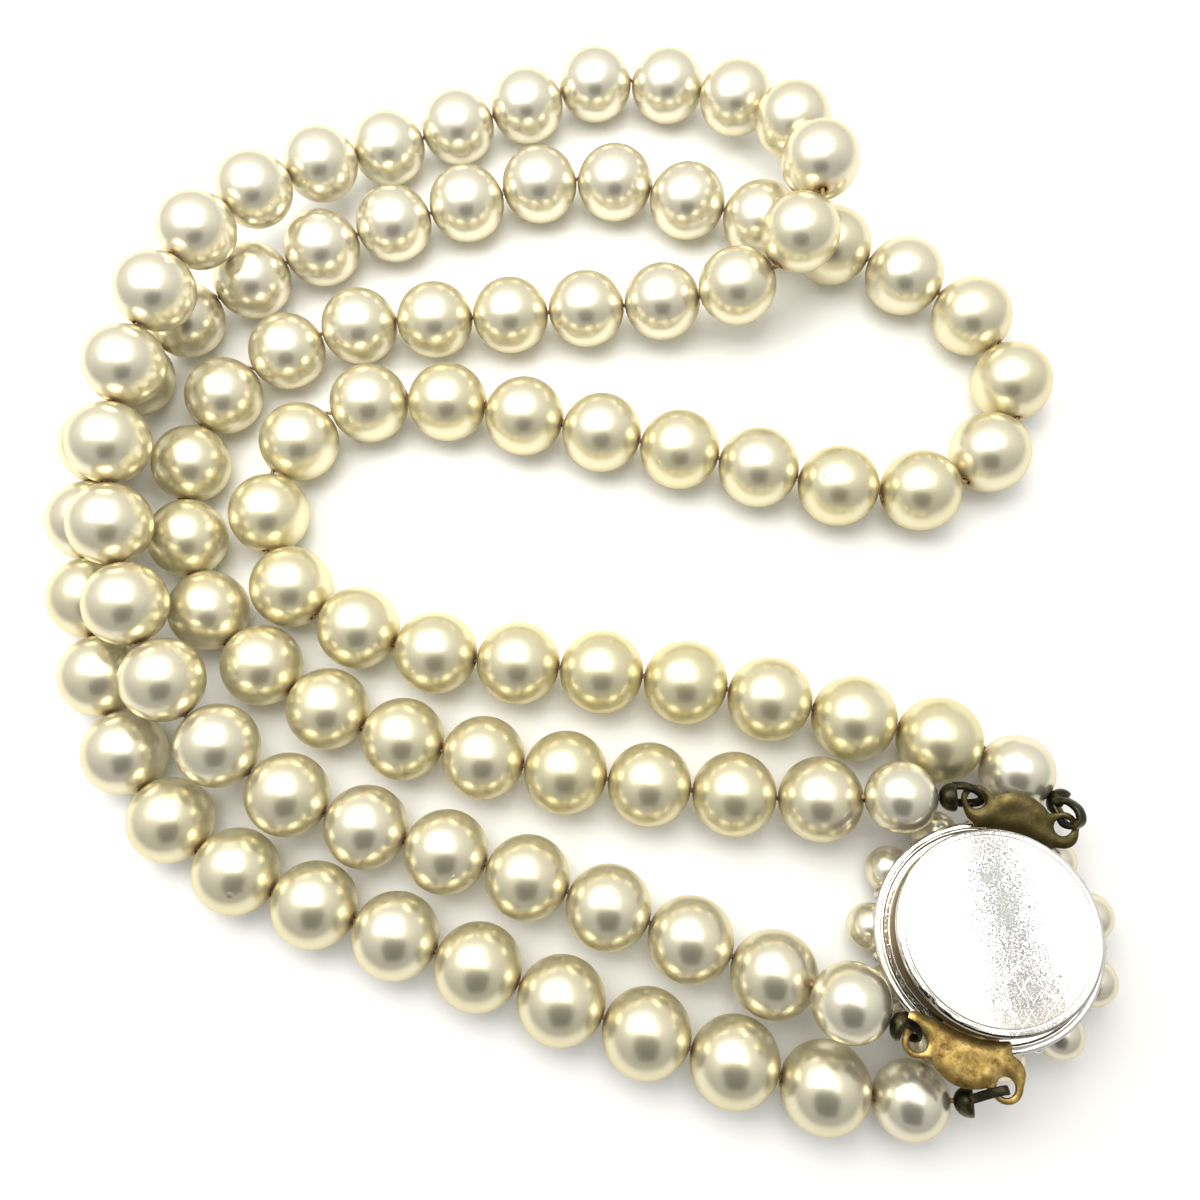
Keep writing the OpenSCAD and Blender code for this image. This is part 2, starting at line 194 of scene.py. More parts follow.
def noise(tree, scale, detail=2.0, roughness=0.5):
    """Noise over the piece itself, in features per metre."""
    place = add(tree, "ShaderNodeTexCoord").outputs["Object"]
    return add(tree, "ShaderNodeTexNoise",
               {"Vector": place, "Scale": scale, "Detail": detail, "Roughness": roughness}).outputs["Fac"]


def ramp(tree, value, stops):
    """Colours at stops from 0 to 1 along value."""
    made = add(tree, "ShaderNodeValToRGB", {"Fac": value})
    elements = made.color_ramp.elements
    while len(elements) < len(stops):
        elements.new(0.5)
    for element, (at, colour) in zip(elements, stops):
        element.position = at
        element.color = (*colour, 1)
    return made.outputs["Color"]


def spread(tree, value, low, high, to_low, to_high):
    """Value from low to high, spread from to_low to to_high."""
    return add(tree, "ShaderNodeMapRange",
               {"Value": value, "From Min": low, "From Max": high, "To Min": to_low, "To Max": to_high}
               ).outputs["Result"]


def blend_colours(tree, part, a, b):
    made = add(tree, "ShaderNodeMix", data_type="RGBA")
    for socket, value in zip((made.inputs[0], made.inputs[6], made.inputs[7]), (part, a, b)):
        if isinstance(value, bpy.types.NodeSocket):
            tree.links.new(value, socket)
        else:
            socket.default_value = value if isinstance(value, float) else (*value, 1)
    return made.outputs[2]


def bump(tree, height, distance, strength=1.0, under=None):
    inputs = {"Height": height, "Distance": distance, "Strength": strength}
    if under is not None:
        inputs["Normal"] = under
    return add(tree, "ShaderNodeBump", inputs).outputs["Normal"]


def pearl_finish():
    """Nacre: a soft mirror over cream, stained round the hole, with faint waves and a few pits."""
    mat, tree = new_material("nacre")
    tone = add(tree, "ShaderNodeAttribute", attribute_name="tone").outputs["Fac"]
    stain_and_painted_wall_shade = add(tree, "ShaderNodeAttribute", attribute_name="stain_and_painted_wall_shade").outputs["Fac"]
    cloud = noise(tree, 260.0, 3.0)
    body = blend_colours(tree, tone, (0.75, 0.69, 0.44), (0.79, 0.75, 0.61))
    body = blend_colours(tree, spread(tree, cloud, 0.35, 0.75, 0.0, 0.35), body, (0.81, 0.775, 0.61))
    body = blend_colours(tree, stain_and_painted_wall_shade, body, (0.45, 0.27, 0.1))
    rough = spread(tree, tone, 0.0, 1.0, 0.32, 0.27)
    waves = bump(tree, noise(tree, 420.0, 2.0), 0.03 * MM)
    place = add(tree, "ShaderNodeTexCoord").outputs["Object"]
    pits = add(tree, "ShaderNodeTexVoronoi", {"Vector": place, "Scale": 150.0}).outputs["Distance"]
    pits = spread(tree, pits, 0.02, 0.05, 0.0, 1.0)
    normal = bump(tree, pits, 0.04 * MM, 1.0, waves)
    shader = add(tree, "ShaderNodeBsdfPrincipled", {
        "Base Color": body, "Roughness": rough, "Metallic": 0.84, "Normal": normal,
        "Specular Tint": (0.85, 0.76, 0.52, 1), "Coat Weight": 0.15, "Coat Roughness": 0.1})
    finish_material(tree, shader)
    return mat


def thread_and_shade_finish():
    mat, tree = new_material("silk_thread_and_shade")
    fibres = noise(tree, 4000.0, 3.0)
    # Brown silk, darkened past its own colour as painted shade so that the thread reads as the shadow line
    # between the beads
    colour = ramp(tree, fibres, [(0.3, (0.2, 0.13, 0.05)), (0.7, (0.42, 0.3, 0.14))])
    shader = add(tree, "ShaderNodeBsdfPrincipled", {
        "Base Color": colour, "Roughness": 0.75, "Normal": bump(tree, fibres, 0.05 * MM)})
    finish_material(tree, shader)
    return mat


def silver_finish():
    """Polished silver plate: a band of specks and crossing scratches on the back, a dark ring of painted
    shade along the groove, and down the wall a champagne-tan painted shade that also stands for the painted
    reflection of the pearls.
    """
    mat, tree = new_material("silver_plate")
    place = add(tree, "ShaderNodeTexCoord").outputs["Object"]
    local = add(tree, "ShaderNodeMapping", {
        "Vector": place, "Location": CLASP_AT, "Rotation": (*CLASP_TILT, 0)},
        vector_type="TEXTURE").outputs["Vector"]
    axes = add(tree, "ShaderNodeSeparateXYZ", {"Vector": local}).outputs
    flat = add(tree, "ShaderNodeCombineXYZ", {"X": axes["X"], "Y": axes["Y"]}).outputs[0]
    away = add(tree, "ShaderNodeVectorMath", {0: flat}, operation="LENGTH").outputs["Value"]

    def part(value, low, high):
        made = add(tree, "ShaderNodeMapRange", {"Value": value, "From Min": low, "From Max": high},
                   interpolation_type="SMOOTHSTEP")
        return made.outputs["Result"]

    def times(a, b):
        return add(tree, "ShaderNodeMath", {0: a, 1: b}, operation="MULTIPLY").outputs[0]

    def plus(a, b):
        return add(tree, "ShaderNodeMath", {0: a, 1: b}, operation="ADD").outputs[0]

    def most(a, b):
        return add(tree, "ShaderNodeMath", {0: a, 1: b}, operation="MAXIMUM").outputs[0]

    slant = times(axes["Y"], SPECKS_SLANT)
    across = plus(plus(axes["X"], slant), -SPECKS_X)
    across = add(tree, "ShaderNodeMath", {0: across}, operation="ABSOLUTE").outputs[0]
    ragged = times(noise(tree, 700.0, 4.0, 0.7), SPECKS_RAGGED)
    band = part(plus(across, ragged), SPECKS_END, SPECKS_DENSE)
    on_back = part(axes["Z"], BACK_Z, BACK_Z + EDGE)
    grains = noise(tree, 7000.0, 3.0, 0.7)
    speck = part(plus(grains, times(band, 0.17)), 0.55, 0.67)
    haze = times(times(part(band, 0.05, 0.5), on_back), speck)
    lower = times(part(axes["Y"], -1 * MM, -5 * MM), on_back)

    def scratches(turn, wide, keep):
        laid = add(tree, "ShaderNodeMapping", {
            "Vector": local, "Rotation": (0, 0, math.radians(turn)), "Scale": (1 / wide, SCRATCH_L, 1)},
            vector_type="TEXTURE").outputs["Vector"]
        fine = add(tree, "ShaderNodeTexNoise", {"Vector": laid, "Scale": 1.0, "Detail": 1.0}).outputs["Fac"]
        return part(fine, keep, keep + 0.03)

    lines = most(scratches(24, 9500, 0.62), scratches(-38, 8000, 0.64))
    lines = most(lines, most(scratches(58, 9000, 0.66), scratches(6, 8600, 0.66)))
    clean = (0.95, 0.945, 0.93)
    colour = blend_colours(tree, times(lower, 0.75), clean, (0.45, 0.42, 0.375))
    colour = blend_colours(tree, haze, colour, (0.2, 0.2, 0.205))
    patch = times(part(plus(part(band, 0.5, 1.0), noise(tree, 480.0, 2.0)), 1.42, 1.6), on_back)
    colour = blend_colours(tree, times(patch, 0.85), colour, (0.27, 0.275, 0.265))
    colour = blend_colours(tree, times(times(lines, lower), 0.6), colour, clean)
    toward_rim = times(part(away, 5.5 * MM, 7.8 * MM), noise(tree, 260.0))
    colour = blend_colours(tree, times(toward_rim, 0.5), colour, (0.5, 0.44, 0.35))
    # A dark ring along the groove: painted shade in the recess
    painted_groove_shade = times(part(away, GROOVE_R - 0.12 * MM, GROOVE_R), part(away, GROOVE_R + GROOVE_W, GROOVE_R))
    colour = blend_colours(tree, times(painted_groove_shade, on_back), colour, (0.2, 0.18, 0.15))
    # Down the wall: a champagne-tan painted shade that also stands for the painted reflection of the pearls,
    # with rougher silver under it
    wall = times(part(axes["Z"], WALL_TOP + EDGE, WALL_TOP), part(away, WALL_R + EDGE, WALL_R))
    wall = times(wall, part(axes["Z"], WALL_FOOT, WALL_FOOT + EDGE))
    stain_and_painted_wall_shade = blend_colours(tree, noise(tree, 500.0, 3.0), (0.1, 0.076, 0.04), (0.26, 0.21, 0.13))
    colour = blend_colours(tree, wall, colour, stain_and_painted_wall_shade)
    rough = plus(times(haze, 0.08), plus(times(wall, 0.4), 0.08))
    normal = bump(tree, speck, 0.004 * MM, 0.5)
    shader = add(tree, "ShaderNodeBsdfPrincipled", {
        "Base Color": colour, "Roughness": rough, "Metallic": 1.0, "Normal": normal,
        "Specular Tint": (0.5, 0.46, 0.38, 1)})
    finish_material(tree, shader)
    return mat


def brass_finish(name, dark, middle, bright):
    """Worn brass: blotches of tarnish from dark to bright."""
    mat, tree = new_material(name)
    blotch = noise(tree, 900.0, 5.0, 0.65)
    colour = ramp(tree, blotch, [(0.32, dark), (0.5, middle), (0.68, bright)])
    grain = noise(tree, 6000.0, 2.0)
    normal = bump(tree, blotch, 0.02 * MM)
    normal = bump(tree, grain, 0.01 * MM, 1.0, normal)
    shader = add(tree, "ShaderNodeBsdfPrincipled", {
        "Base Color": colour, "Metallic": 0.85, "Normal": normal,
        "Roughness": spread(tree, blotch, 0.3, 0.7, 0.51, 0.26)})
    finish_material(tree, shader)
    return mat


def islands(node):
    """The loose solids of a CAD node, each as the places of its corners and its faces."""
    mesh = nodes[node].data
    places = np.array([v.co for v in mesh.vertices])
    keys = {}
    same = [keys.setdefault(tuple(p), len(keys)) for p in np.round(places, 7)]
    parent = list(range(len(keys)))

    def root(k):
        while parent[k] != k:
            parent[k] = parent[parent[k]]
            k = parent[k]
        return k

    for polygon in mesh.polygons:
        first = root(same[polygon.vertices[0]])
        for k in polygon.vertices[1:]:
            parent[root(same[k])] = first
    groups = {}
    for polygon in mesh.polygons:
        groups.setdefault(root(same[polygon.vertices[0]]), []).append(list(polygon.vertices))
    return [places[np.array(faces)] for faces in groups.values()]


def fitted_pearl(faces):
    """Middle, radius and way of the hole of one drilled bead, from its faces' corners."""
    corners = faces.reshape(-1, 3)
    system = np.c_[2 * corners, np.ones(len(corners))]
    answer = np.linalg.lstsq(system, (corners ** 2).sum(1), rcond=None)[0]
    middle = answer[:3]
    radius = math.sqrt(answer[3] + middle @ middle)
    centres = faces.mean(1) - middle
    inside = centres[np.linalg.norm(centres, axis=1) < 0.9 * radius]
    way = np.linalg.svd(inside, full_matrices=False)[2][0] if len(inside) > 3 else np.array([0, 0, 1.0])
    return middle, radius, way


def pearl_shape(bore_part):
    """A bead one metre across with a hole along Z, rounded where it opens, and its stain."""
    mesh = bpy.data.meshes.new("pearl_shape")
    bore = bore_part / 2
    start = math.asin(2 * bore)
    lip = 0.04

    def stain_and_painted_wall_shade(a):
        return math.exp(-(min(a, math.pi - a) - start) / STAIN_ANGLE * 2)

    profile = [(0.5 * math.sin(a), 0.5 * math.cos(a), stain_and_painted_wall_shade(a))
               for a in np.linspace(start + lip, math.pi - start - lip, PEARL_RINGS)]
    top = 0.5 * math.cos(start)
    mouth = [(bore, top * 0.94, 1.0), (bore + 0.002, top * 0.985, 1.0)]
    profile = mouth + profile + [(r, -z, s) for r, z, s in reversed(mouth)]
    turns = [2 * math.pi * k / PEARL_SIDES for k in range(PEARL_SIDES)]
    places = [(r * math.cos(t), r * math.sin(t), z) for r, z, _ in profile for t in turns]
    rings = len(profile)
    faces = [(i * PEARL_SIDES + k, j * PEARL_SIDES + k, j * PEARL_SIDES + (k + 1) % PEARL_SIDES,
              i * PEARL_SIDES + (k + 1) % PEARL_SIDES)
             for i in range(rings) for j in [(i + 1) % rings] for k in range(PEARL_SIDES)]
    mesh.from_pydata(places, [], faces)
    mesh.attributes.new("stain_and_painted_wall_shade", "FLOAT", "POINT").data.foreach_set(
        "value", [s for _, _, s in profile for _ in turns])
    mesh.shade_smooth()
    return link(bpy.data.objects.new("pearl_shape", mesh))


def pearl_tree(mat):
    """Geometry nodes that set a pearl, turned and sized, on each point."""
    tree = bpy.data.node_groups.new("set_pearls", "GeometryNodeTree")
    face = tree.interface
    face.new_socket("Points", in_out="INPUT", socket_type="NodeSocketGeometry")
    face.new_socket("Pearl", in_out="INPUT", socket_type="NodeSocketObject")
    face.new_socket("Size", in_out="INPUT", socket_type="NodeSocketFloat")
    face.new_socket("Seed", in_out="INPUT", socket_type="NodeSocketInt")
    face.new_socket("Pearls", in_out="OUTPUT", socket_type="NodeSocketGeometry")
    given = add(tree, "NodeGroupInput").outputs
    shape = add(tree, "GeometryNodeObjectInfo", {"Object": given["Pearl"]}).outputs["Geometry"]
    way = add(tree, "GeometryNodeInputNamedAttribute", {"Name": "way"}, data_type="FLOAT_VECTOR").outputs[0]
    across = add(tree, "GeometryNodeInputNamedAttribute", {"Name": "across"}, data_type="FLOAT").outputs[0]
    turned = add(tree, "FunctionNodeAlignRotationToVector", {"Vector": way}, axis="Z").outputs[0]
    spin = add(tree, "FunctionNodeRandomValue", {"Seed": given["Seed"]}, data_type="FLOAT")
    spin.inputs[3].default_value = 2 * math.pi
    own = add(tree, "FunctionNodeAxisAngleToRotation",
              {"Axis": (0, 0, 1), "Angle": spin.outputs[1]}).outputs[0]
    both = add(tree, "FunctionNodeRotateRotation", {"Rotation": turned, "Rotate By": own},
               rotation_space="LOCAL").outputs[0]
    size = add(tree, "ShaderNodeMath", {0: across, 1: given["Size"]}, operation="MULTIPLY").outputs[0]
    placed = add(tree, "GeometryNodeInstanceOnPoints", {
        "Points": given["Points"], "Instance": shape, "Rotation": both, "Scale": size}).outputs[0]
    real = add(tree, "GeometryNodeRealizeInstances", {"Geometry": placed}).outputs[0]
    done = add(tree, "GeometryNodeSetMaterial", {"Geometry": real, "Material": mat}).outputs[0]
    add(tree, "NodeGroupOutput", {"Pearls": done})
    return tree


def string_of_pearls(name, beads, tones, tree, shape, seed):
    """One piece of pearls at the beads' middles, made real."""
    mesh = bpy.data.meshes.new(name + "_points")
    mesh.from_pydata([middle for middle, _, _ in beads], [], [])
    mesh.attributes.new("way", "FLOAT_VECTOR", "POINT").data.foreach_set(
        "vector", np.array([way for _, _, way in beads]).ravel())
    mesh.attributes.new("across", "FLOAT", "POINT").data.foreach_set("value", [2 * r for _, r, _ in beads])
    mesh.attributes.new("tone", "FLOAT", "POINT").data.foreach_set("value", tones)
    points = link(bpy.data.objects.new(name + "_points", mesh))
    modifier = points.modifiers.new("pearls", "NODES")
    modifier.node_group = tree
    sockets = {item.name: item.identifier for item in tree.interface.items_tree if item.in_out == "INPUT"}
    modifier[sockets["Pearl"]] = shape
    modifier[sockets["Size"]] = 1.0
    modifier[sockets["Seed"]] = seed
    evaluated = points.evaluated_get(bpy.context.evaluated_depsgraph_get())
    real = bpy.data.meshes.new_from_object(evaluated)
    real.name = name
    bpy.data.objects.remove(points)
    return link(bpy.data.objects.new(name, real))


def dressed_copy(node, name, mat, width):
    """The CAD node's own shape with its edges eased, as a piece that stands for it."""
    mesh = nodes[node].data.copy()
    mesh.name = name
    work = bmesh.new()
    work.from_mesh(mesh)
    bmesh.ops.remove_doubles(work, verts=work.verts, dist=1e-6)
    bmesh.ops.dissolve_limit(work, angle_limit=math.radians(1.0), verts=work.verts, edges=work.edges)
    work.to_mesh(mesh)
    work.free()
    mesh.materials.clear()
    mesh.materials.append(mat)
    piece = link(bpy.data.objects.new(name, mesh))
    easing = piece.modifiers.new("eased", "BEVEL")
    easing.width = width
    easing.segments = 2
    easing.limit_method = "ANGLE"
    easing.angle_limit = math.radians(EASED_FROM)
    real = bpy.data.meshes.new_from_object(piece.evaluated_get(bpy.context.evaluated_depsgraph_get()))
    piece.modifiers.clear()
    piece.data = real
    real.name = name
    real.shade_smooth()
    real.set_sharp_from_angle(angle=math.radians(EASED_FROM))
    for face in real.polygons:
        face.use_smooth = face.area < BROAD_FACE
    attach(piece, "root")
    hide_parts(node)
    return piece


def clasp_frame():
    tilt = Matrix.Rotation(CLASP_TILT[1], 4, "Y") @ Matrix.Rotation(CLASP_TILT[0], 4, "X")
    return Matrix.Translation(CLASP_AT) @ tilt @ Matrix.Scale(MM, 4)


def plate_frame(name):
    """From a plate's own millimetres, with its lower face at 0, to its place on the clasp."""
    turn, askew, lean = PLATES[name][:3]
    foot = Vector(LEAN_LINE)
    leant = Matrix.Translation(foot) @ Matrix.Rotation(math.radians(lean), 4, "X") @ Matrix.Translation(-foot)
    own = (Matrix.Translation((0, REACH, foot.z)) @ Matrix.Rotation(math.radians(askew), 4, "Z")
           @ Matrix.Translation((0, -REACH, 0)))
    return clasp_frame() @ Matrix.Rotation(math.radians(turn - 90), 4, "Z") @ leant @ own


def capsule(p, a, b):
    """Distance to a rounded bar whose ends have their own radii."""
    ab = Vector((b[0] - a[0], b[1] - a[1]))
    along = min(max((p - Vector(a[:2])).dot(ab) / ab.length_squared, 0), 1)
    return (p - Vector(a[:2]) - along * ab).length - (a[2] + (b[2] - a[2]) * along)


def plate_distance(p, flanks, inner):
    """How far a point lies outside a plate's outline, its holes left out."""
    parts = [(p - Vector(BELLY[:2])).length - BELLY[2]]
    for flank in flanks:
        side = math.copysign(HOLE_X, flank[0])
        parts.append(capsule(p, (side, REACH, LOBE_R), flank))
        parts.append(capsule(p, flank, (0, BELLY[1], NECK_R)))
    blend = 0.12
    joined = -blend * math.log(sum(math.exp(-d / blend) for d in parts))
    return max(joined, inner[2] - (p - Vector(inner[:2])).length)


def plate_outline(flanks, inner):
    """Points round a plate, each the last one inside on its ray from the middle."""
    middle = Vector((0, 10.3))
    step = 0.1
    rays = 150
    points = []
    for k in range(rays):
        a = 2 * math.pi * k / rays
        ray = Vector((math.cos(a), math.sin(a)))
        far = 7.0
        while far > 2 * step and plate_distance(middle + ray * (far - step), flanks, inner) > 0:
            far -= step
        near = far - step
        for _ in range(12):
            half = (near + far) / 2
            if plate_distance(middle + ray * half, flanks, inner) > 0:
                far = half
            else:
                near = half
        points.append(middle + ray * near)
    return points


def end_plate(name, mat):
    """A pressed plate with eased edges, its surface a little domed, and its tongue."""
    flanks, inner, tongue_from = PLATES[name][3:]
    loops = [plate_outline(flanks, inner)]
    for side in (-1, 1):
        hole = Vector((side * HOLE_X, REACH))
        loops.append([hole + HOLE_R * Vector((math.cos(a), math.sin(a)))
                      for a in np.linspace(0, 2 * math.pi, 32, endpoint=False)])
    points = [p for loop in loops for p in loop]
    edges = []
    for loop in loops:
        first = len(edges)
        edges += [(first + k, first + (k + 1) % len(loop)) for k in range(len(loop))]

    def deep(p):
        holes = min((p - Vector((side * HOLE_X, REACH))).length - HOLE_R for side in (-1, 1))
        return min(-plate_distance(p, flanks, inner), holes)

    pitch = 0.27
    inside = [Vector((pitch * (i + j % 2 / 2), 7.5 + 0.866 * pitch * j))
              for i in range(-24, 24) for j in range(26)]
    points += [p for p in inside if deep(p) > 0.13]
    points, _, faces, *_ = delaunay_2d_cdt(points, edges, [], 0, 1e-5)
    faces = [f for f in faces if deep(sum((points[k] for k in f), Vector((0, 0))) / 3) > 0]

    def level(p):
        rise = min(max(deep(p), 0) / CROWN_RUN, 1)
        dents = DENT * math.sin(2.3 * p.x + 0.6) * math.sin(1.9 * p.y)
        return PLATE_CROWN * (rise * (2 - rise) - 1) + dents * rise

    work = bmesh.new()
    top = [work.verts.new((p.x, p.y, level(p) + PLATE_T)) for p in points]
    low = [work.verts.new((p.x, p.y, level(p))) for p in points]
    for f in faces:
        work.faces.new([top[k] for k in f])
        work.faces.new([low[k] for k in reversed(f)])
    rims = [edge for edge in work.edges if edge.is_boundary]
    upper = {v: k for k, v in enumerate(top)}
    for edge in [e for e in rims if e.verts[0] in upper]:
        a, b = (upper[loop.vert] for loop in (edge.link_loops[0], edge.link_loops[0].link_loop_next))
        work.faces.new((top[b], top[a], low[a], low[b]))
    bmesh.ops.bevel(work, geom=rims, offset=RIM_R, segments=3, affect="EDGES", profile=0.6)
    tongue = bmesh.ops.create_cube(work, size=1.0)["verts"]
    length = inner[2] + TONGUE_LAP - tongue_from
    middle = (inner[0] / 8, tongue_from + length / 2, PLATE_T / 2 - TONGUE_SINK)
    bmesh.ops.scale(work, verts=tongue, vec=(TONGUE_W, length, TONGUE_T))
    bmesh.ops.translate(work, verts=tongue, vec=middle)
    loose = [v for v in work.verts if not v.link_faces]
    bmesh.ops.delete(work, geom=loose, context="VERTS")
    work.transform(plate_frame(name))
    return as_piece(work, name.replace("end_plate", "plate"), name, mat)


def as_piece(work, name, node, mat):
    """The made shape as a smooth piece that stands for a CAD node."""
    bmesh.ops.recalc_face_normals(work, faces=work.faces)
    mesh = bpy.data.meshes.new(name)
    work.to_mesh(mesh)
    work.free()
    mesh.materials.append(mat)
    mesh.shade_smooth()
    mesh.set_sharp_from_angle(angle=math.radians(50))
    piece = link(bpy.data.objects.new(name, mesh))
    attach(piece, "root")
    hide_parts(node)
    return piece


def smooth_route(points):
    """A Catmull-Rom curve through the points."""
    steps = 7
    ends = [2 * points[0] - points[1], *points, 2 * points[-1] - points[-2]]
    curve = []
    for a, b, c, d in zip(ends, ends[1:], ends[2:], ends[3:]):
        for k in range(steps):
            t = k / steps
            curve.append(0.5 * (2 * b + (c - a) * t + (2 * a - 5 * b + 4 * c - d) * t ** 2
                                + (3 * b - a - 3 * c + d) * t ** 3))
    return curve + [points[-1]]


def sweep_strap(work, route, width, thick):
    """A flat strap with rounded edges along the route, as wide as the route's plane is deep."""
    curve = smooth_route(route)
    spots = np.array(curve)
    plane = Vector(np.linalg.svd(spots - spots.mean(0))[2][2])
    sides = 16
    rings = []
    for k, spot in enumerate(curve):
        along = (curve[min(k + 1, len(curve) - 1)] - curve[max(k - 1, 0)]).normalized()
        wide = (plane - plane.dot(along) * along).normalized()
        high = along.cross(wide)
        ring = []
        for a in np.linspace(0, 2 * math.pi, sides, endpoint=False):
            x, y = math.cos(a), math.sin(a)
            x, y = (math.copysign(abs(v) ** 0.5, v) for v in (x, y))
            ring.append(work.verts.new(spot + wide * x * width / 2 + high * y * thick / 2))
        rings.append(ring)
    for a, b in zip(rings, rings[1:]):
        for k in range(sides):
            work.faces.new((a[k], a[(k + 1) % sides], b[(k + 1) % sides], b[k]))
    work.faces.new(rings[0][::-1])
    work.faces.new(rings[-1])


def lathe(work, profile, at, axis):
    """A closed profile of (r, height) turned round an axis."""
    sides = 40
    turn = axis.to_track_quat("Z", "Y").to_matrix()
    rings = []
    for r, h in profile:
        rings.append([work.verts.new(at + turn @ Vector((r * math.cos(a), r * math.sin(a), h)))
                      for a in np.linspace(0, 2 * math.pi, sides, endpoint=False)])
    for a, b in zip(rings, rings[1:] + rings[:1]):
        for k in range(sides):
            work.faces.new((a[k], a[(k + 1) % sides], b[(k + 1) % sides], b[k]))


def bead_tip(name, mat):
    """A cup behind an end bead, with its strap bent through the plate's hole."""
    plate, width, thick, route = TIPS[name]
    bead, cup = (Vector(p) for p in CUPS[name][:2])
    depth = CUPS[name][2]
    axis = (cup - bead).normalized()
    work = bmesh.new()
    arc = [math.radians(a) for a in (14, 25, 38, 52, 66, 80, 92, 104)]
    outer = [(CUP_R * math.sin(a), -depth * math.cos(a)) for a in arc]
    inner = [((CUP_R - CUP_T) * math.sin(a), -(depth - CUP_T) * math.cos(a)) for a in reversed(arc)]
    lip = [((outer[-1][0] + inner[0][0]) / 2, outer[-1][1] + 0.07)]
    lathe(work, outer + lip + inner, cup, axis)
    to_world = plate_frame(plate)
    sweep_strap(work, [(to_world @ Vector(p)) / MM for p in route], width, thick)
    work.transform(Matrix.Scale(MM, 4))
    return as_piece(work, name.replace("bead_tip", "tip"), name, mat)


def set_finish(node, mat):
    mesh = nodes[node].data
    mesh.materials.clear()
    mesh.materials.append(mat)


def camera():
    """A camera at the photograph's place, with world axes as it saw them."""
    down = Vector((math.tan(LEAN_RIGHT), math.tan(LEAN_BACK), 1)).normalized()
    up = -down
    east = (Vector((1, 0, 0)) - up * up.x).normalized()
    north = up.cross(east)
    seen = Matrix((east, north, up))
    right, below, ahead = (Vector((seen[0][i], seen[1][i], seen[2][i])) for i in range(3))
    turn = Matrix((right, -below, -ahead)).transposed()
    data = bpy.data.cameras.new("camera")
    data.sensor_width = SENSOR_MM
    data.lens = SENSOR_MM * FOCAL_PX / PICTURE_PX
    data.clip_start = 0.005
    data.clip_end = 20
    obj = link(bpy.data.objects.new("camera", data))
    obj.matrix_world = Matrix.Translation(CAMERA_AT) @ turn.to_4x4()
    bpy.context.scene.camera = obj


def area_light(name, at, size, watts, colour):
    """A soft light that faces straight down."""
    data = bpy.data.lights.new(name, "AREA")
    data.shape = "RECTANGLE"
    data.size, data.size_y = size
    data.energy = watts
    data.color = colour
    obj = link(bpy.data.objects.new(name, data))
    obj.location = at
    obj.visible_camera = False


def studio():
    """Pale ground, a lamp over the pearls, a panel over the clasp, and a room that is darker nearby."""
    world = bpy.data.worlds.new("room")
    bpy.context.scene.world = world
    world.use_nodes = True
    tree = world.node_tree
    backdrop = tree.nodes["Background"]
    backdrop.inputs["Color"].default_value = (1.0, 0.99, 0.965, 1)
    way = add(tree, "ShaderNodeTexCoord").outputs["Generated"]
    axes = add(tree, "ShaderNodeSeparateXYZ", {"Vector": way}).outputs
    far_side = spread(tree, axes["Y"], -0.5, 0.2, 0.56, 0.96)
    high_up = spread(tree, axes["Z"], 0.0, 0.75, 0.68, 1.0)
    strength = add(tree, "ShaderNodeMath", {0: far_side, 1: high_up}, operation="MULTIPLY").outputs[0]
    tree.links.new(strength, backdrop.inputs["Strength"])
    for name, (at, size, watts, colour) in LIGHTS.items():
        area_light(name, at, size, watts, colour)
    mat, tree = new_material("pale_ground")
    shade = noise(tree, 6.0, 2.0)
    colour = ramp(tree, shade, [(0.3, (0.86, 0.86, 0.84)), (0.7, (0.88, 0.88, 0.87))])
    finish_material(tree, add(tree, "ShaderNodeBsdfPrincipled", {"Base Color": colour, "Roughness": 0.6}))
    mesh = bpy.data.meshes.new("ground")
    corners = [(x * GROUND_HALF, y * GROUND_HALF, 0) for x, y in ((-1, -1), (1, -1), (1, 1), (-1, 1))]
    mesh.from_pydata(corners, [], [(0, 1, 2, 3)])
    mesh.materials.append(mat)
    ground = link(bpy.data.objects.new("ground", mesh))
    dark_card()


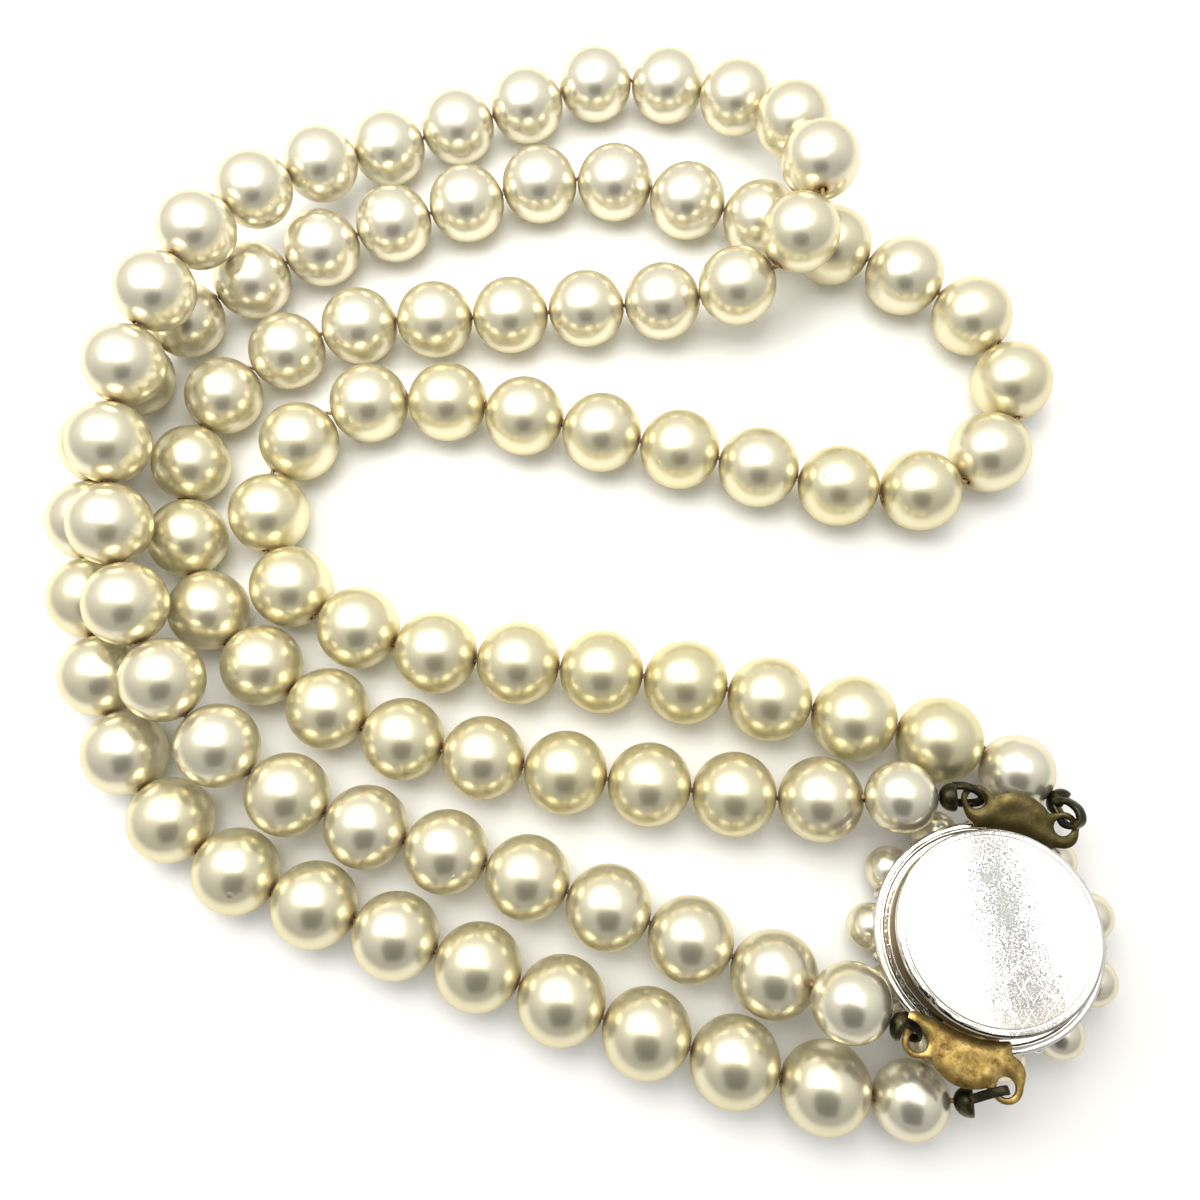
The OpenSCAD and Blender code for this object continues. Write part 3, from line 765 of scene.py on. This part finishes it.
def dark_card():
    """A dark card round the camera: only its reflection is seen, as the pearls' dark middle."""
    mat, tree = new_material("dark_card")
    finish_material(tree, add(tree, "ShaderNodeEmission", {"Color": (0.02, 0.013, 0.008, 1)}))
    mesh = bpy.data.meshes.new("card")
    spot = [(CARD_SPOT_R * math.cos(a), CARD_SPOT_Y + CARD_SPOT_R * math.sin(a))
            for a in np.linspace(0, 2 * math.pi, 24, endpoint=False)]
    places = [CAMERA_AT + Vector((x, y, CARD_RISE)) * MM for x, y in CARD + spot]
    mesh.from_pydata(places, [], [range(len(CARD)), range(len(CARD), len(places))])
    mesh.materials.append(mat)
    card = link(bpy.data.objects.new("card", mesh))
    card.visible_camera = False
    card.visible_diffuse = False
    card.visible_shadow = False
    card.visible_transmission = False


def main():
    bpy.context.scene.view_settings.view_transform = "Standard"
    camera()
    studio()
    nacre = pearl_finish()
    thread = thread_and_shade_finish()
    silver = silver_finish()
    gilt = brass_finish("gilt_brass", (0.11, 0.065, 0.018), (0.33, 0.22, 0.062), (0.52, 0.39, 0.15))
    olive = brass_finish("olive_plate", (0.05, 0.039, 0.012), (0.08, 0.062, 0.019), (0.125, 0.097, 0.036))
    tarnish = brass_finish("tarnished_tip", (0.01, 0.011, 0.006), (0.028, 0.026, 0.013), (0.12, 0.1, 0.042))

    shape = pearl_shape(BORE_D / BEAD_D)
    tree = pearl_tree(nacre)
    draws = np.random.RandomState(TONE_SEED)
    for seed, (node, tone) in enumerate(STRANDS.items()):
        beads = [fitted_pearl(faces) for faces in islands(node)]
        whiter = np.clip([(middle[1] - WHITER_FROM) / WHITER_OVER for middle, _, _ in beads], 0, 1)
        tones = np.clip(tone + WHITER_BY * whiter + draws.normal(0, TONE_SPREAD, len(beads)), 0, 1)
        piece = string_of_pearls(node.replace("strand", "pearls"), beads, tones, tree, shape, seed)
        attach(piece, "root")
        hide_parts(node)
    for seed, node in enumerate(END_BEADS):
        beads = [fitted_pearl(faces) for faces in islands(node)]
        piece = string_of_pearls(node.replace("bead", "pearl"), beads, [1.0], tree, shape, 10 + seed)
        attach(piece, "root")
        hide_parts(node)
    around = [fitted_pearl(islands(node)[0]) for node in CLASP_PEARLS]
    piece = string_of_pearls("clasp_pearls", around, [1.0] * len(around), tree, shape, 20)
    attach(piece, "root")
    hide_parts(*CLASP_PEARLS)
    bpy.data.objects.remove(shape)

    for node in ("thread_a", "thread_b"):
        set_finish(node, thread)
    dressed_copy("clasp_back", "case", silver, 0.05 * MM)
    dressed_copy("clasp_front", "flange", silver, 0.04 * MM)
    end_plate("end_plate_1", olive)
    end_plate("end_plate_2", gilt)
    for name in TIPS:
        bead_tip(name, tarnish)


main()
